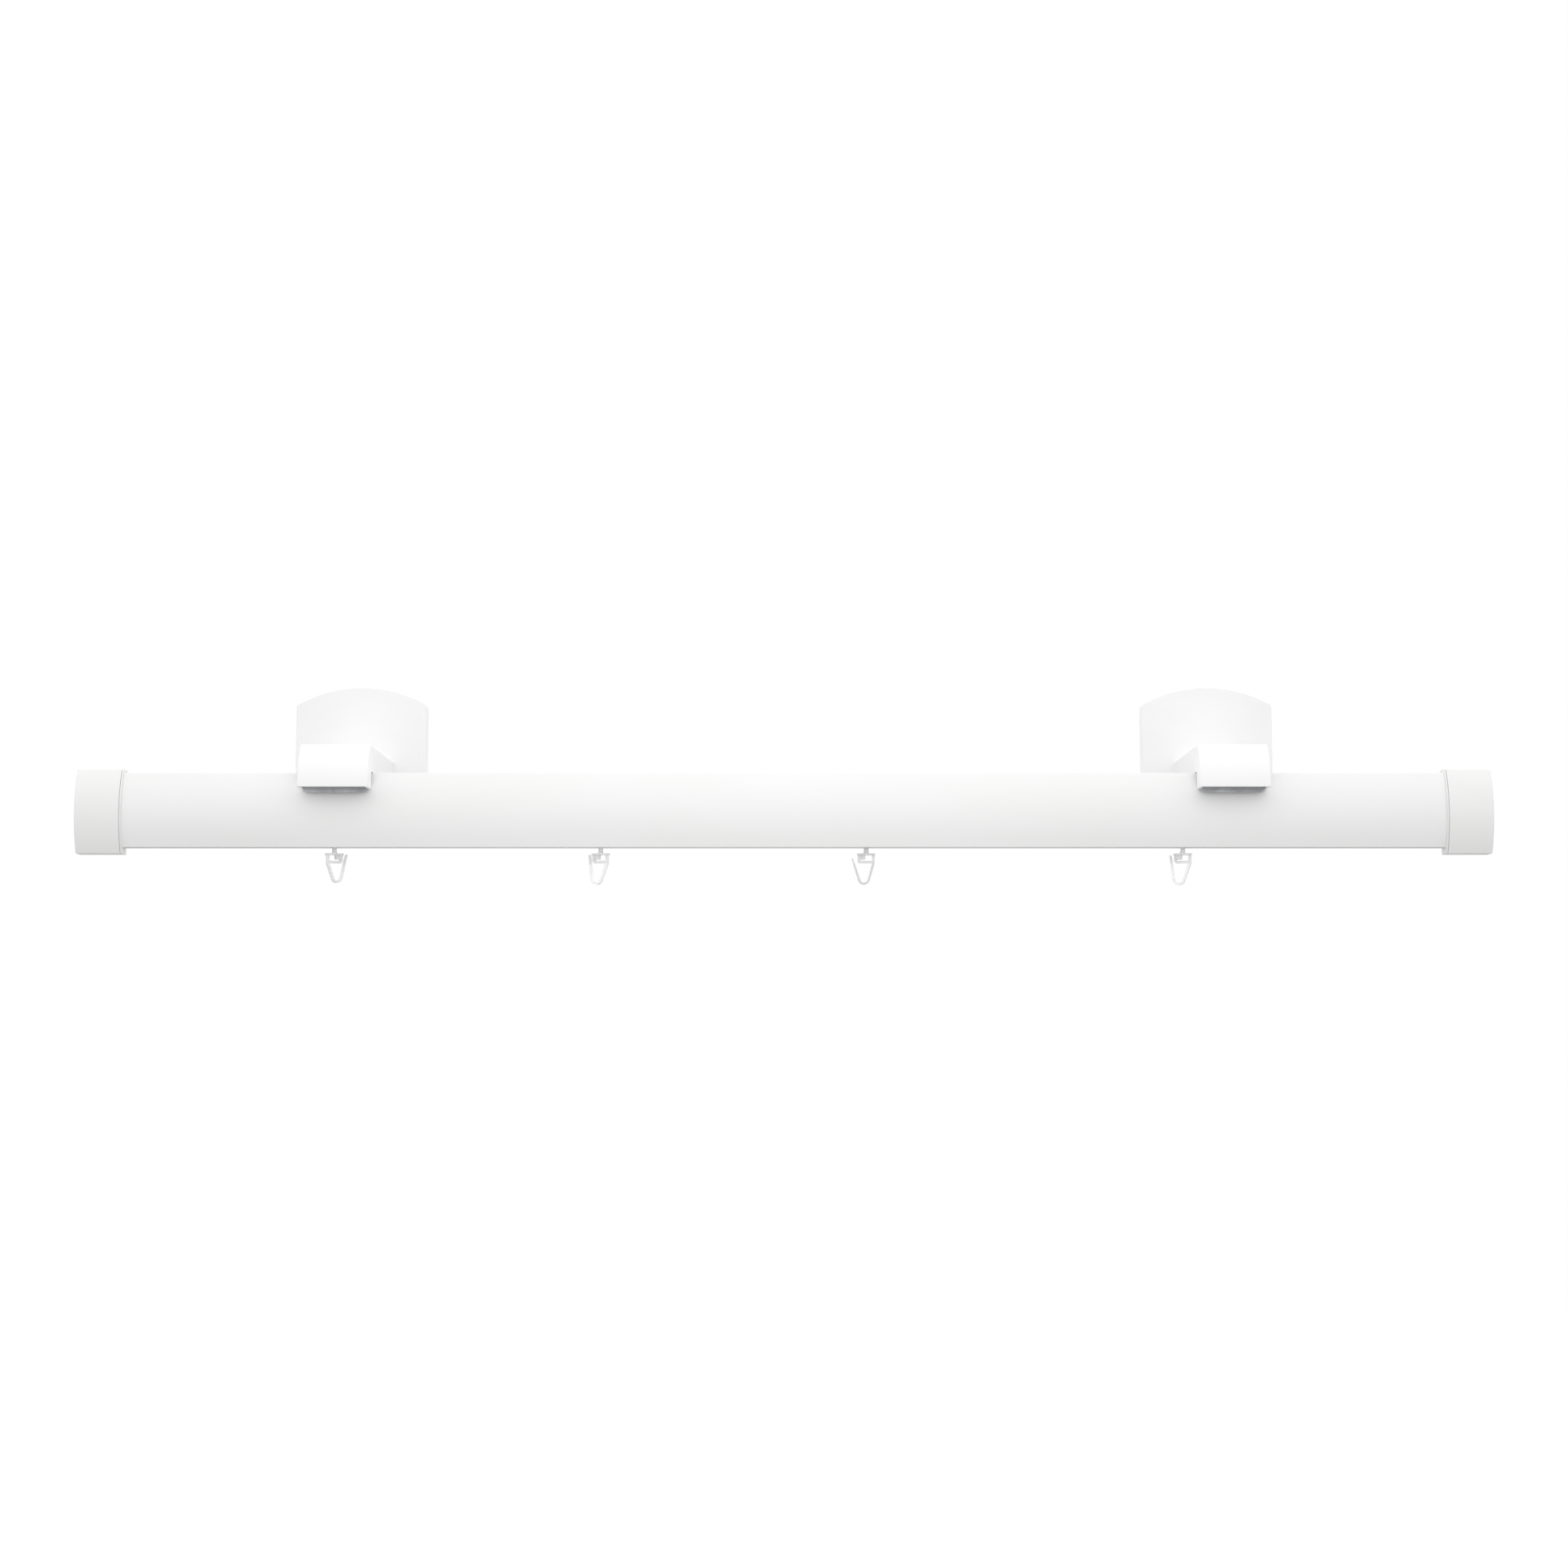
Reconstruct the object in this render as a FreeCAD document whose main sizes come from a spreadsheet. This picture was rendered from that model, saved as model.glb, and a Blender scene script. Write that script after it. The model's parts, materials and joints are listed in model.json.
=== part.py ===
"""Wall-mounted curtain rod: a wide slotted rail hung from two hooded brackets, with four hooks.

Frame: +X runs along the rod, +Y points at the wall, +Z is up. The wall is the plane Y = 0, and
the origin is on it, midway between the four holes for the wall screws. All sizes are millimetres.
"""

import FreeCAD, Part
import math
import os
from collections import namedtuple

import Sketcher

# The driving dimensions. "Slot" is the axis of the rail's two slots, seen along X.
SIZES = {
    # where things are
    "slot_reach": 108.2,  # wall to the slots' axis
    "rod_drop": 44.05,  # origin down to the middle of the rod
    "bracket_spacing": 632,
    # rail extrusion
    "rail_length": 934,
    "rail_height": 52.7,
    "slot_to_front": 11.3,
    "slot_to_back": 6,
    "front_bow": 6,  # how far the front face bulges
    "rail_wall": 1.5,
    "rail_round": 0.5,
    "slot_width": 5,
    "lip": 1.8,
    "channel_width": 9,
    "channel_depth": 6,
    # rod ends
    "collar": 1.2,
    "cap_gap": 0.25,  # shadow line between collar and cap
    "cap_length": 31.55,
    "cap_overhang": 3.6,  # cap beyond the rail, above and below
    "cap_drop": 0.9,  # how much lower than the rail the caps sit
    "cap_skirt": 1.5,  # cap beyond the rail, in front and behind
    "cap_wall": 2,
    "cap_round": 1,
    "seam_round": 0.3,
    "plug_reach": 22,
    "boss_length": 9,
    "push_gap": 0.1,
    # wall plates and their covers
    "plate_width": 98,
    "plate_top": 59,
    "plate_bottom": -60,
    "arch_rise": 13.3,
    "plate_corner": 4.2,
    "cover_depth": 8,
    "cover_wall": 1.8,
    "cover_round": 1.4,
    "base_thickness": 3,
    "base_margin": 2.2,
    "wall_screw_spacing": 60,
    "wall_screw_hole": 5.5,
    "bolt_tap": 5,  # threaded holes in the wall plate
    # arms
    "arm_width": 45,
    "arm_sheet": 2.3,
    "arm_tab": 3,
    "arm_top": -0.2,
    "arm_nose": 117,  # wall to where the arm turns down
    "jaw_front": 122.9,  # wall to the front of its turned down end
    "jaw_bottom": -32.5,
    "jaw_corner": 4,
    "jaw_fold": 2.5,
    "rod_clearance": 0.2,  # arm above the rod
    "bolt_spacing": 22,
    "bolt_height": -9,
    "bolt_hole": 5.5,
    "bolt_radius": 2.45,
    "bolt_head": 4.4,
    "bolt_head_height": 2.8,
    "bolt_short": 0.5,  # bolt ends this far inside the wall plate
    # arm covers with their hoods
    "hood_width": 49.3,
    "hood_reach": 136,
    "hood_top": 1.9,
    "hood_bottom": -29.7,
    "hood_depth": 17.5,  # from the flat top to the front
    "hood_shoulder": 11,  # radius where the top turns down
    "hood_lip": 1,  # upright strip at the hood's lower edge
    "hood_wall": 2,
    "hood_round": 1,
    "hood_back": 118.4,  # wall to the hood's edge along the rod
    "cover_bottom": -17.2,
    # rail clamps
    "clamp_length": 36,
    "clamp_width": 8.6,
    "clamp_height": 4,
    "clamp_key": 4.6,
    "clamp_gap": 0.1,
    "clamp_hole": 4,
    "clamp_pitch": 18,
    "screw_hole": 4.5,
    "screw_radius": 1.95,
    "screw_length": 8,
    "screw_head": 3.5,
    "screw_head_height": 2.6,
    "socket_width": 0.5,  # share of a screw head's radius
    "socket_floor": 0.4,  # share of its height
    # gliders
    "glider_length": 12,
    "glider_width": 8.4,
    "glider_height": 2.6,
    "glider_gap": 0.1,
    "glider_key_length": 8,
    "glider_key_width": 4.4,
    "glider_key_depth": 1.5,
    "stem_hole": 3.5,
    "glider_round": 1.5,
    # hooks
    "stem_radius": 1.68,
    "stem_length": 4,  # visible between the rail and the hook's top plate
    "stem_flare": 2.6,
    "flare_height": 0.9,
    "head_radius": 2.9,
    "head_height": 1.3,
    "head_taper": 0.4,
    "head_slit": 0.7,
    "top_width": 12.6,
    "top_depth": 4.8,
    "top_height": 1.3,
    "top_round": 0.8,
    "ribbon_depth": 3.2,
    "frame_left": 6.1,
    "frame_right": 6,
    "frame_height": 6.9,
    "frame_bar": 1.7,
    "block_width": 3.9,
    "block_height": 4.2,
    "leg": 1.8,
    "loop_thickness": 1.6,
    "tip_thickness": 1,
    "overshoot": 1,  # how far a cut runs on past the solid
}
# Each hook: its place along the rod, its turn about the stem in degrees, the centre and radius of
# its loop's round bottom, and the free tip of its springy leg, from the stem and the top plate.
HOOK_SIZES = ("place", "turn", "loop_across", "loop_down", "loop_radius", "tip_across", "tip_down")
HOOKS = {
    1: (-318, 215, -2.1, -16.6, 3.4, -9.3, -0.5),
    2: (-129.6, -25, -3.1, -17.5, 3.9, -8.8, -0.9),
    3: (58.1, 4, -1.7, -17.9, 3.5, -9.9, -3.7),
    4: (282, -25, -3, -17.7, 3.9, -8.9, -1.3),
}
SIDES = {"left": -1, "right": 1}

doc = FreeCAD.newDocument("curtain_rod")
parts = []  # the finished sub-parts, in the order they are made


# ---------------------------------------------------------------- the sheet of sizes
def fill_sheet():
    sheet = doc.addObject("Spreadsheet::Sheet", "Size")
    rows = dict(SIZES)
    for index, sizes in HOOKS.items():
        rows.update({f"hook_{index}_{name}": size for name, size in zip(HOOK_SIZES, sizes)})
    for row, (name, size) in enumerate(rows.items(), start=1):
        sheet.set(f"A{row}", name)
        sheet.set(f"B{row}", str(size))
        sheet.setAlias(f"B{row}", name)
    doc.recompute()
    return sheet


def number(expression):
    """The value of an expression over the sheet, such as "Size.rail_length / 2"."""
    if isinstance(expression, (int, float)):
        return float(expression)
    return float(doc.getObject("Size").evalExpression(expression))


# ---------------------------------------------------------------- sketches
# One corner of an outline. The radius is that of the edge which starts at the corner, None for a
# straight one; turn is 1 where that edge curves to the left, -1 to the right. smooth makes the
# edge tangent to the one before it. Text is an expression that holds the value; a plain number
# is only a starting guess, which the sketch solves for.
Corner = namedtuple("Corner", "across up radius turn smooth centre", defaults=(None, 1, False, None))


def curve(start, end, radius, turn):
    chord = end - start
    rise = math.sqrt(max(radius**2 - (chord.Length / 2) ** 2, 0))
    left = FreeCAD.Vector(-chord.y, chord.x, 0).normalize()
    centre = (start + end) / 2 + left * rise * turn
    angles = [math.atan2(p.y - centre.y, p.x - centre.x) for p in (start, end)]
    if turn < 0:
        angles.reverse()
    circle = Part.Circle(centre, FreeCAD.Vector(0, 0, 1), radius)
    return Part.ArcOfCircle(circle, *angles)


def hold(sketch, kind, geometry, point, value):
    """Ties a point's coordinate, or a radius, to an expression over the sheet."""
    size = number(value)
    if kind != "Radius" and abs(size) < 1e-9:
        axis = -2 if kind == "DistanceX" else -1
        sketch.addConstraint(Sketcher.Constraint("PointOnObject", geometry, point, axis))
        return
    if kind == "Radius":
        constraint = Sketcher.Constraint(kind, geometry, size)
    else:
        constraint = Sketcher.Constraint(kind, geometry, point, size)
    index = sketch.addConstraint(constraint)
    sketch.setExpression(f"Constraints[{index}]", value)


def draw(sketch, corners):
    """Adds one closed outline to a sketch."""
    first = sketch.GeometryCount
    count = len(corners)
    points = [FreeCAD.Vector(number(c.across), number(c.up), 0) for c in corners]
    ends = []  # the start and end point numbers of each edge
    for i, corner in enumerate(corners):
        start, end = points[i], points[(i + 1) % count]
        if corner.radius is None:
            sketch.addGeometry(Part.LineSegment(start, end))
        else:
            sketch.addGeometry(curve(start, end, number(corner.radius), corner.turn))
        ends.append((1, 2) if corner.radius is None or corner.turn > 0 else (2, 1))
    for i, corner in enumerate(corners):
        before = (i - 1) % count
        joint = (first + before, ends[before][1], first + i, ends[i][0])
        kind = "Tangent" if corner.smooth else "Coincident"
        sketch.addConstraint(Sketcher.Constraint(kind, *joint))
    for i, corner in enumerate(corners):
        if isinstance(corner.across, str):
            hold(sketch, "DistanceX", first + i, ends[i][0], corner.across)
        if isinstance(corner.up, str):
            hold(sketch, "DistanceY", first + i, ends[i][0], corner.up)
        if isinstance(corner.radius, str):
            hold(sketch, "Radius", first + i, 0, corner.radius)
        if corner.centre:
            hold(sketch, "DistanceX", first + i, 3, corner.centre[0])
            hold(sketch, "DistanceY", first + i, 3, corner.centre[1])


def draw_circle(sketch, across, up, radius):
    place = FreeCAD.Vector(number(across), number(up), 0)
    circle = Part.Circle(place, FreeCAD.Vector(0, 0, 1), number(radius))
    index = sketch.addGeometry(circle)
    hold(sketch, "DistanceX", index, 3, across)
    hold(sketch, "DistanceY", index, 3, up)
    hold(sketch, "Radius", index, 0, radius)


def box_outline(left, right, bottom, top):
    return [Corner(left, bottom), Corner(right, bottom), Corner(right, top), Corner(left, top)]


# ---------------------------------------------------------------- bodies and features
def new_body(label, across="0", out="0", up="0"):
    """A body whose own origin stands at the given place, each part of it an expression."""
    body = doc.addObject("PartDesign::Body", label)
    body.Label = label
    for axis, value in zip("xyz", (across, out, up)):
        body.setExpression(f"Placement.Base.{axis}", value)
    parts.append(body)
    return body


def new_sketch(body, name, plane, away="0", up="0"):
    """A sketch on one of the body's origin planes, moved away along the plane's normal."""
    sketch = body.newObject("Sketcher::SketchObject", f"{body.Name}_{name}")
    origin = next(f for f in body.Origin.OriginFeatures if f.Role == plane)
    sketch.AttachmentSupport = [(origin, "")]
    sketch.MapMode = "FlatFace"
    sketch.setExpression("AttachmentOffset.Base.z", away)
    sketch.setExpression("AttachmentOffset.Base.y", up)
    return sketch


def sketch_of(body, name, plane, outlines, away="0", up="0"):
    sketch = new_sketch(body, name, plane, away, up)
    for outline in outlines:
        draw(sketch, outline)
    return sketch


def extrude(body, kind, sketch, length, backwards=False, both_ways=False):
    """A pad or a pocket of a sketch. A pocket with no length goes through everything."""
    feature = body.newObject(f"PartDesign::{kind}", f"{sketch.Name}_{kind.lower()}")
    feature.Profile = sketch
    if length is None:
        feature.Type = "ThroughAll"
    else:
        feature.setExpression("Length", length)
    feature.SideType = "Symmetric" if both_ways else "One side"
    feature.Reversed = backwards
    doc.recompute()
    return feature


def pad(body, sketch, length, backwards=False, both_ways=False):
    return extrude(body, "Pad", sketch, length, backwards, both_ways)


def pocket(body, sketch, length=None, backwards=False, both_ways=False):
    before = body.Shape.Volume
    feature = extrude(body, "Pocket", sketch, length, backwards, both_ways)
    if body.Shape.Volume >= before:
        raise RuntimeError(f"{feature.Name} cuts nothing")
    return feature


def round_edges(body, base, radius, chosen):
    """Fillets the edges of the base feature for which chosen(edge) is true."""
    names = [f"Edge{i}" for i, edge in enumerate(base.Shape.Edges, start=1) if chosen(edge)]
    feature = body.newObject("PartDesign::Fillet", f"{base.Name}_rounded")
    feature.Base = (base, names)
    feature.setExpression("Radius", radius)
    doc.recompute()
    return feature


def runs_along(edge, axis):
    """True for a straight edge parallel to the axis "x", "y" or "z"."""
    start, end = edge.Vertexes[0].Point, edge.Vertexes[-1].Point
    step = end - start
    return edge.Curve.TypeId == "Part::GeomLine" and abs(getattr(step, axis)) > step.Length - 1e-6


# ---------------------------------------------------------------- rod
ROD_PLACE = {"out": "-Size.slot_reach", "up": "-Size.rod_drop"}
FRONT_RADIUS = "((Size.rail_height / 2)^2 + Size.front_bow^2) / (2 * Size.front_bow)"
FRONT_CENTRE = f"({FRONT_RADIUS} - Size.slot_to_front)"


def lens(inset, half_height, back):
    """The rod's outline seen along X, made smaller by inset: flat at the back, bowed in front."""
    radius = f"({FRONT_RADIUS} - ({inset}))"
    corner = f"{FRONT_CENTRE} - sqrt({radius}^2 - ({half_height})^2)"
    top, bottom = half_height, f"-({half_height})"
    return [
        Corner(back, top),
        Corner(corner, top, radius),
        Corner(corner, bottom),
        Corner(back, bottom),
    ]


def channel(side):
    """The corners of a T-slot, from behind to in front: side is 1 for the top, -1 for the bottom."""
    face = f"{side} * Size.rail_height / 2"
    under_lip = f"{side} * (Size.rail_height / 2 - Size.lip)"
    floor = f"{side} * (Size.rail_height / 2 - Size.lip - Size.channel_depth)"
    slot, wide = "Size.slot_width / 2", "Size.channel_width / 2"
    return [
        Corner(slot, face),
        Corner(slot, under_lip),
        Corner(wide, under_lip),
        Corner(wide, floor),
        Corner(f"-{wide}", floor),
        Corner(f"-{wide}", under_lip),
        Corner(f"-{slot}", under_lip),
        Corner(f"-{slot}", face),
    ]


CHAMBER_HALF = "Size.rail_height / 2 - Size.lip - Size.channel_depth - Size.rail_wall"
CHAMBER_BACK = "Size.slot_to_back - Size.rail_wall"


def make_rail():
    body = new_body("rail_profile", **ROD_PLACE)
    back_top, front_top, front_bottom, back_bottom = lens("0", "Size.rail_height / 2", "Size.slot_to_back")
    bottom = list(reversed(channel(-1)))
    outer = [back_top, *channel(1), front_top, front_bottom, *bottom, back_bottom]
    chamber = lens("Size.rail_wall", CHAMBER_HALF, CHAMBER_BACK)
    section = sketch_of(body, "section", "YZ_Plane", [outer, chamber])
    extrusion = pad(body, section, "Size.rail_length", both_ways=True)
    half = number("Size.rail_height / 2") - 1e-3
    slot = number("Size.slot_width / 2") + 1e-3

    def on_outer_corner(edge):
        return all(abs(v.Z) > half and abs(v.Y) > slot for v in edge.Vertexes) and runs_along(edge, "x")

    round_edges(body, extrusion, "Size.rail_round", on_outer_corner)


def make_end_plug(label, side):
    """Plugs the rail's end: a tongue inside the rail, a collar against it and a boss for the cap."""
    body = new_body(label, f"{side} * Size.rail_length / 2", **ROD_PLACE)
    outward = side < 0
    tongue_half = f"{CHAMBER_HALF} - Size.push_gap"
    tongue_back = f"{CHAMBER_BACK} - Size.push_gap"
    tongue = [
        lens("Size.rail_wall + Size.push_gap", tongue_half, tongue_back),
        lens("Size.rail_wall + Size.cap_wall", f"{tongue_half} - Size.cap_wall",
             f"{tongue_back} - Size.cap_wall"),
    ]
    collar = pad(body, sketch_of(body, "collar", "YZ_Plane", [cap_lens("0")]), "Size.collar", outward)
    rounded = round_edges(body, collar, "Size.cap_round", lambda edge: runs_along(edge, "x"))
    round_edges(body, rounded, "Size.seam_round", on_seam(side, "Size.collar"))
    pad(body, sketch_of(body, "tongue", "YZ_Plane", tongue), "Size.plug_reach", not outward)
    boss = [cap_lens("Size.cap_wall + Size.push_gap"), cap_lens("2 * Size.cap_wall")]
    boss_sketch = sketch_of(body, "boss", "YZ_Plane", boss, f"{side} * Size.collar")
    pad(body, boss_sketch, "Size.boss_length", outward)


def cap_lens(inset):
    """The end cap's outline, made smaller by inset. It hangs slightly lower than the rail."""
    half = f"Size.rail_height / 2 + Size.cap_overhang - ({inset})"
    back = f"Size.slot_to_back + Size.cap_skirt - ({inset})"
    outline = lens(f"({inset}) - Size.cap_skirt", half, back)
    return [corner._replace(up=f"{corner.up} - Size.cap_drop") for corner in outline]


def on_seam(side, across):
    """Picks the edges that lie in one plane across the rod, at the given place on the body."""
    place = side * number(across)
    return lambda edge: all(abs(v.X - place) < 1e-3 for v in edge.Vertexes)


def make_end_cap(label, side):
    """A hollow cap that pushes over the plug's boss, with a shadow line left at the collar."""
    seam = f"{side} * (Size.rail_length / 2 + Size.collar + Size.cap_gap)"
    body = new_body(label, seam, **ROD_PLACE)
    outward = side < 0
    block = pad(body, sketch_of(body, "block", "YZ_Plane", [cap_lens("0")]), "Size.cap_length", outward)
    outer = round_edges(body, block, "Size.cap_round", lambda edge: not on_seam(side, "0")(edge))
    round_edges(body, outer, "Size.seam_round", on_seam(side, "0"))
    hollow = sketch_of(body, "hollow", "YZ_Plane", [cap_lens("Size.cap_wall")])
    pocket(body, hollow, "Size.cap_length - Size.cap_wall", not outward)


# ---------------------------------------------------------------- brackets
ARCH_RADIUS = "((Size.plate_width / 2)^2 + Size.arch_rise^2) / (2 * Size.arch_rise)"
WEB_BOTTOM = "Size.rail_height / 2 - Size.rod_drop + Size.rod_clearance"
WEB_TOP = f"{WEB_BOTTOM} + Size.arm_sheet"


def bracket_body(label, side):
    """A body of the bracket: its origin is on the wall, straight above the bracket's middle."""
    return new_body(label, f"{side} * Size.bracket_spacing / 2")


def arch(inset):
    """The wall plate's outline with its bowed top, made smaller by inset."""
    half = f"Size.plate_width / 2 - ({inset})"
    radius = f"({ARCH_RADIUS} - ({inset}))"
    shoulder = f"Size.plate_top - {ARCH_RADIUS} + sqrt({radius}^2 - ({half})^2)"
    bottom = f"Size.plate_bottom + ({inset})"
    return [
        Corner(f"-({half})", bottom),
        Corner(half, bottom),
        Corner(half, shoulder, radius),
        Corner(f"-({half})", shoulder),
    ]


def make_wall_plate(label, side):
    """The steel base that is screwed to the wall."""
    body = bracket_body(label, side)
    outline = sketch_of(body, "outline", "XZ_Plane", [arch("Size.base_margin")])
    blank = pad(body, outline, "Size.base_thickness")
    round_edges(body, blank, "Size.plate_corner - Size.base_margin", lambda edge: runs_along(edge, "y"))
    holes = new_sketch(body, "holes", "XZ_Plane")
    for sign in (-1, 1):
        draw_circle(holes, "0", f"{sign} * Size.wall_screw_spacing / 2", "Size.wall_screw_hole / 2")
        draw_circle(holes, f"{sign} * Size.bolt_spacing / 2", "Size.bolt_height", "Size.bolt_tap / 2")
    pocket(body, holes, None, both_ways=True)


def make_plate_cover(label, side):
    """The arched shell over the wall plate, open at the back and where the arm comes through."""
    body = bracket_body(label, side)
    block = pad(body, sketch_of(body, "block", "XZ_Plane", [arch("0")]), "Size.cover_depth")
    corners = round_edges(body, block, "Size.plate_corner", lambda edge: runs_along(edge, "y"))
    front = number("Size.cover_depth") - 1e-3
    round_edges(body, corners, "Size.cover_round", lambda edge: all(v.Y < -front for v in edge.Vertexes))
    hollow = sketch_of(body, "hollow", "XZ_Plane", [arch("Size.cover_wall")])
    pocket(body, hollow, "Size.cover_depth - Size.cover_wall", backwards=True)
    half = "Size.arm_width / 2 + Size.push_gap"
    window = box_outline(f"-({half})", half, f"{WEB_BOTTOM} - Size.push_gap", "Size.arm_top + Size.push_gap")
    pocket(body, sketch_of(body, "window", "XZ_Plane", [window]), None, both_ways=True)


def make_arm(label, side):
    """A folded steel channel, open on top, with an end tab that bolts to the wall plate. Its web
    runs on past the rod's front edge and turns down there as a jaw, under the hood."""
    body = bracket_body(label, side)
    half = "Size.arm_width / 2"
    inner = f"({half} - Size.arm_sheet)"
    section = [
        Corner(f"-{half}", WEB_BOTTOM),
        Corner(half, WEB_BOTTOM),
        Corner(half, "Size.arm_top"),
        Corner(inner, "Size.arm_top"),
        Corner(inner, WEB_TOP),
        Corner(f"-{inner}", WEB_TOP),
        Corner(f"-{inner}", "Size.arm_top"),
        Corner(f"-{half}", "Size.arm_top"),
    ]
    start = "Size.base_thickness"
    profile = sketch_of(body, "profile", "XZ_Plane", [section], start)
    pad(body, profile, f"Size.arm_nose - {start}")
    tab = box_outline(f"-{half}", half, WEB_BOTTOM, "Size.arm_top")
    pad(body, sketch_of(body, "tab", "XZ_Plane", [tab], start), "Size.arm_tab")
    root, front = "-Size.arm_nose + Size.overshoot", "-Size.jaw_front"
    behind = f"{front} + Size.arm_sheet"
    hook_over = [
        Corner(root, WEB_TOP),
        Corner(front, WEB_TOP),
        Corner(front, "Size.jaw_bottom"),
        Corner(behind, "Size.jaw_bottom"),
        Corner(behind, WEB_BOTTOM),
        Corner(root, WEB_BOTTOM),
    ]
    jaw = pad(body, sketch_of(body, "jaw", "YZ_Plane", [hook_over]), "Size.arm_width", both_ways=True)

    def on_lower_corner(edge):
        return runs_along(edge, "y") and edge.Vertexes[0].Z < number("Size.jaw_bottom") + 1e-3

    def on_fold(edge):
        return runs_along(edge, "x") and edge.Vertexes[0].Y < number(front) + 1e-3 and (
            edge.Vertexes[0].Z > number(WEB_TOP) - 1e-3)

    rounded = round_edges(body, jaw, "Size.jaw_corner", on_lower_corner)
    round_edges(body, rounded, "Size.jaw_fold", on_fold)
    bolt_holes = new_sketch(body, "bolt_holes", "XZ_Plane")
    clamp_holes = new_sketch(body, "clamp_holes", "XY_Plane")
    for sign in (-1, 1):
        draw_circle(bolt_holes, f"{sign} * Size.bolt_spacing / 2", "Size.bolt_height", "Size.bolt_hole / 2")
        draw_circle(clamp_holes, f"{sign} * Size.clamp_pitch / 2", "-Size.slot_reach", "Size.screw_hole / 2")
    pocket(body, bolt_holes, None, both_ways=True)
    pocket(body, clamp_holes, None, both_ways=True)


def hood_outline(inset, back, bottom, edge_back):
    """The arm cover seen along X: a flat top that turns down in front as a quarter oval."""
    top = f"Size.hood_top - ({inset})"
    front = f"-Size.hood_reach + ({inset})"
    turn_start = "-Size.hood_reach + Size.hood_depth"
    lip = "Size.hood_bottom + Size.hood_lip"
    turned = number(f"{front} + Size.hood_depth / 2")
    return [
        Corner(back, top),
        Corner(turn_start, top, f"Size.hood_shoulder - ({inset})", 1, True),
        Corner(turned, number(f"{top} - Size.hood_shoulder / 2"), number("4 * Size.hood_shoulder"), 1, True),
        Corner(front, lip, None, 1, True),
        Corner(front, bottom),
        *edge_back,
    ]


def make_arm_cover(label, side):
    """The shell over the arm, whose hood hangs down in front of the rod's upper edge."""
    body = bracket_body(label, side)
    back = "-Size.cover_depth"
    under = [
        Corner("-Size.hood_back", "Size.hood_bottom"),
        Corner("-Size.hood_back", "Size.cover_bottom"),
        Corner(back, "Size.cover_bottom"),
    ]
    outline = hood_outline("0", back, "Size.hood_bottom", under)
    block = pad(body, sketch_of(body, "block", "YZ_Plane", [outline]), "Size.hood_width", both_ways=True)

    def on_face_outline(edge):
        low = min(v.Z for v in edge.Vertexes)
        deepest = max(v.Y for v in edge.Vertexes)
        sideways = runs_along(edge, "x")
        forward = deepest < -number("Size.hood_back") - 1 or low > number("Size.hood_top") - 1e-3
        return forward and not sideways and max(v.Z for v in edge.Vertexes) > number("Size.hood_bottom") + 0.5

    round_edges(body, block, "Size.hood_round", on_face_outline)
    open_back = f"{back} + Size.overshoot"
    below = "Size.hood_bottom - Size.overshoot"
    hollow = hood_outline("Size.hood_wall", open_back, below, [Corner(open_back, below)])
    pocket(body, sketch_of(body, "hollow", "YZ_Plane", [hollow]),
           "Size.hood_width - 2 * Size.hood_wall", both_ways=True)


def make_rail_clamp(label, side):
    """The strip nut in the rail's upper channel, keyed into the slot."""
    body = bracket_body(label, side)
    body.setExpression("Placement.Base.y", "-Size.slot_reach")
    body.setExpression("Placement.Base.z", "Size.rail_height / 2 - Size.rod_drop")
    half = "Size.clamp_length / 2"
    shoulder = "Size.lip + Size.clamp_gap"
    strip = box_outline(f"-{half}", half, "-Size.clamp_width / 2", "Size.clamp_width / 2")
    key = box_outline(f"-{half}", half, "-Size.clamp_key / 2", "Size.clamp_key / 2")
    pad(body, sketch_of(body, "strip", "XY_Plane", [strip], f"-({shoulder})"), "Size.clamp_height", True)
    pad(body, sketch_of(body, "key", "XY_Plane", [key]), shoulder, True)
    holes = new_sketch(body, "holes", "XY_Plane")
    for sign in (-1, 1):
        draw_circle(holes, f"{sign} * Size.clamp_pitch / 2", "0", "Size.clamp_hole / 2")
    pocket(body, holes, None, both_ways=True)


def make_screw_pair(label, spacing, shank_radius, shank_length, head_radius, head_height, place, tilt):
    """Two equal cap screws side by side, as separate solids, each head standing on its Z = 0."""
    shanks_and_heads, sockets = [], []
    for sign in (-1, 1):
        sizes = {
            "shank": (shank_radius, shank_length, f"-({shank_length})"),
            "head": (head_radius, head_height, "0"),
        }
        for piece, (radius, height, base) in sizes.items():
            cylinder = doc.addObject("Part::Cylinder", f"{label}_{piece}")
            cylinder.setExpression("Radius", radius)
            cylinder.setExpression("Height", height)
            cylinder.setExpression("Placement.Base.x", f"{sign} * {spacing} / 2")
            cylinder.setExpression("Placement.Base.z", base)
            shanks_and_heads.append(cylinder)
        socket = doc.addObject("Part::Prism", f"{label}_socket")
        socket.Polygon = 6
        socket.setExpression("Circumradius", f"({head_radius}) * Size.socket_width")
        socket.setExpression("Height", head_height)
        socket.setExpression("Placement.Base.x", f"{sign} * {spacing} / 2")
        socket.setExpression("Placement.Base.z", f"({head_height}) * Size.socket_floor")
        sockets.append(socket)
    solid = doc.addObject("Part::MultiFuse", f"{label}_solid")
    solid.Shapes = shanks_and_heads
    tools = doc.addObject("Part::MultiFuse", f"{label}_sockets")
    tools.Shapes = sockets
    pair = doc.addObject("Part::Cut", label)
    pair.Base, pair.Tool = solid, tools
    pair.Label = label
    pair.Placement.Rotation = FreeCAD.Rotation(FreeCAD.Vector(1, 0, 0), tilt)
    for axis, value in zip("xyz", place):
        pair.setExpression(f"Placement.Base.{axis}", value)
    parts.append(pair)


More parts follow.
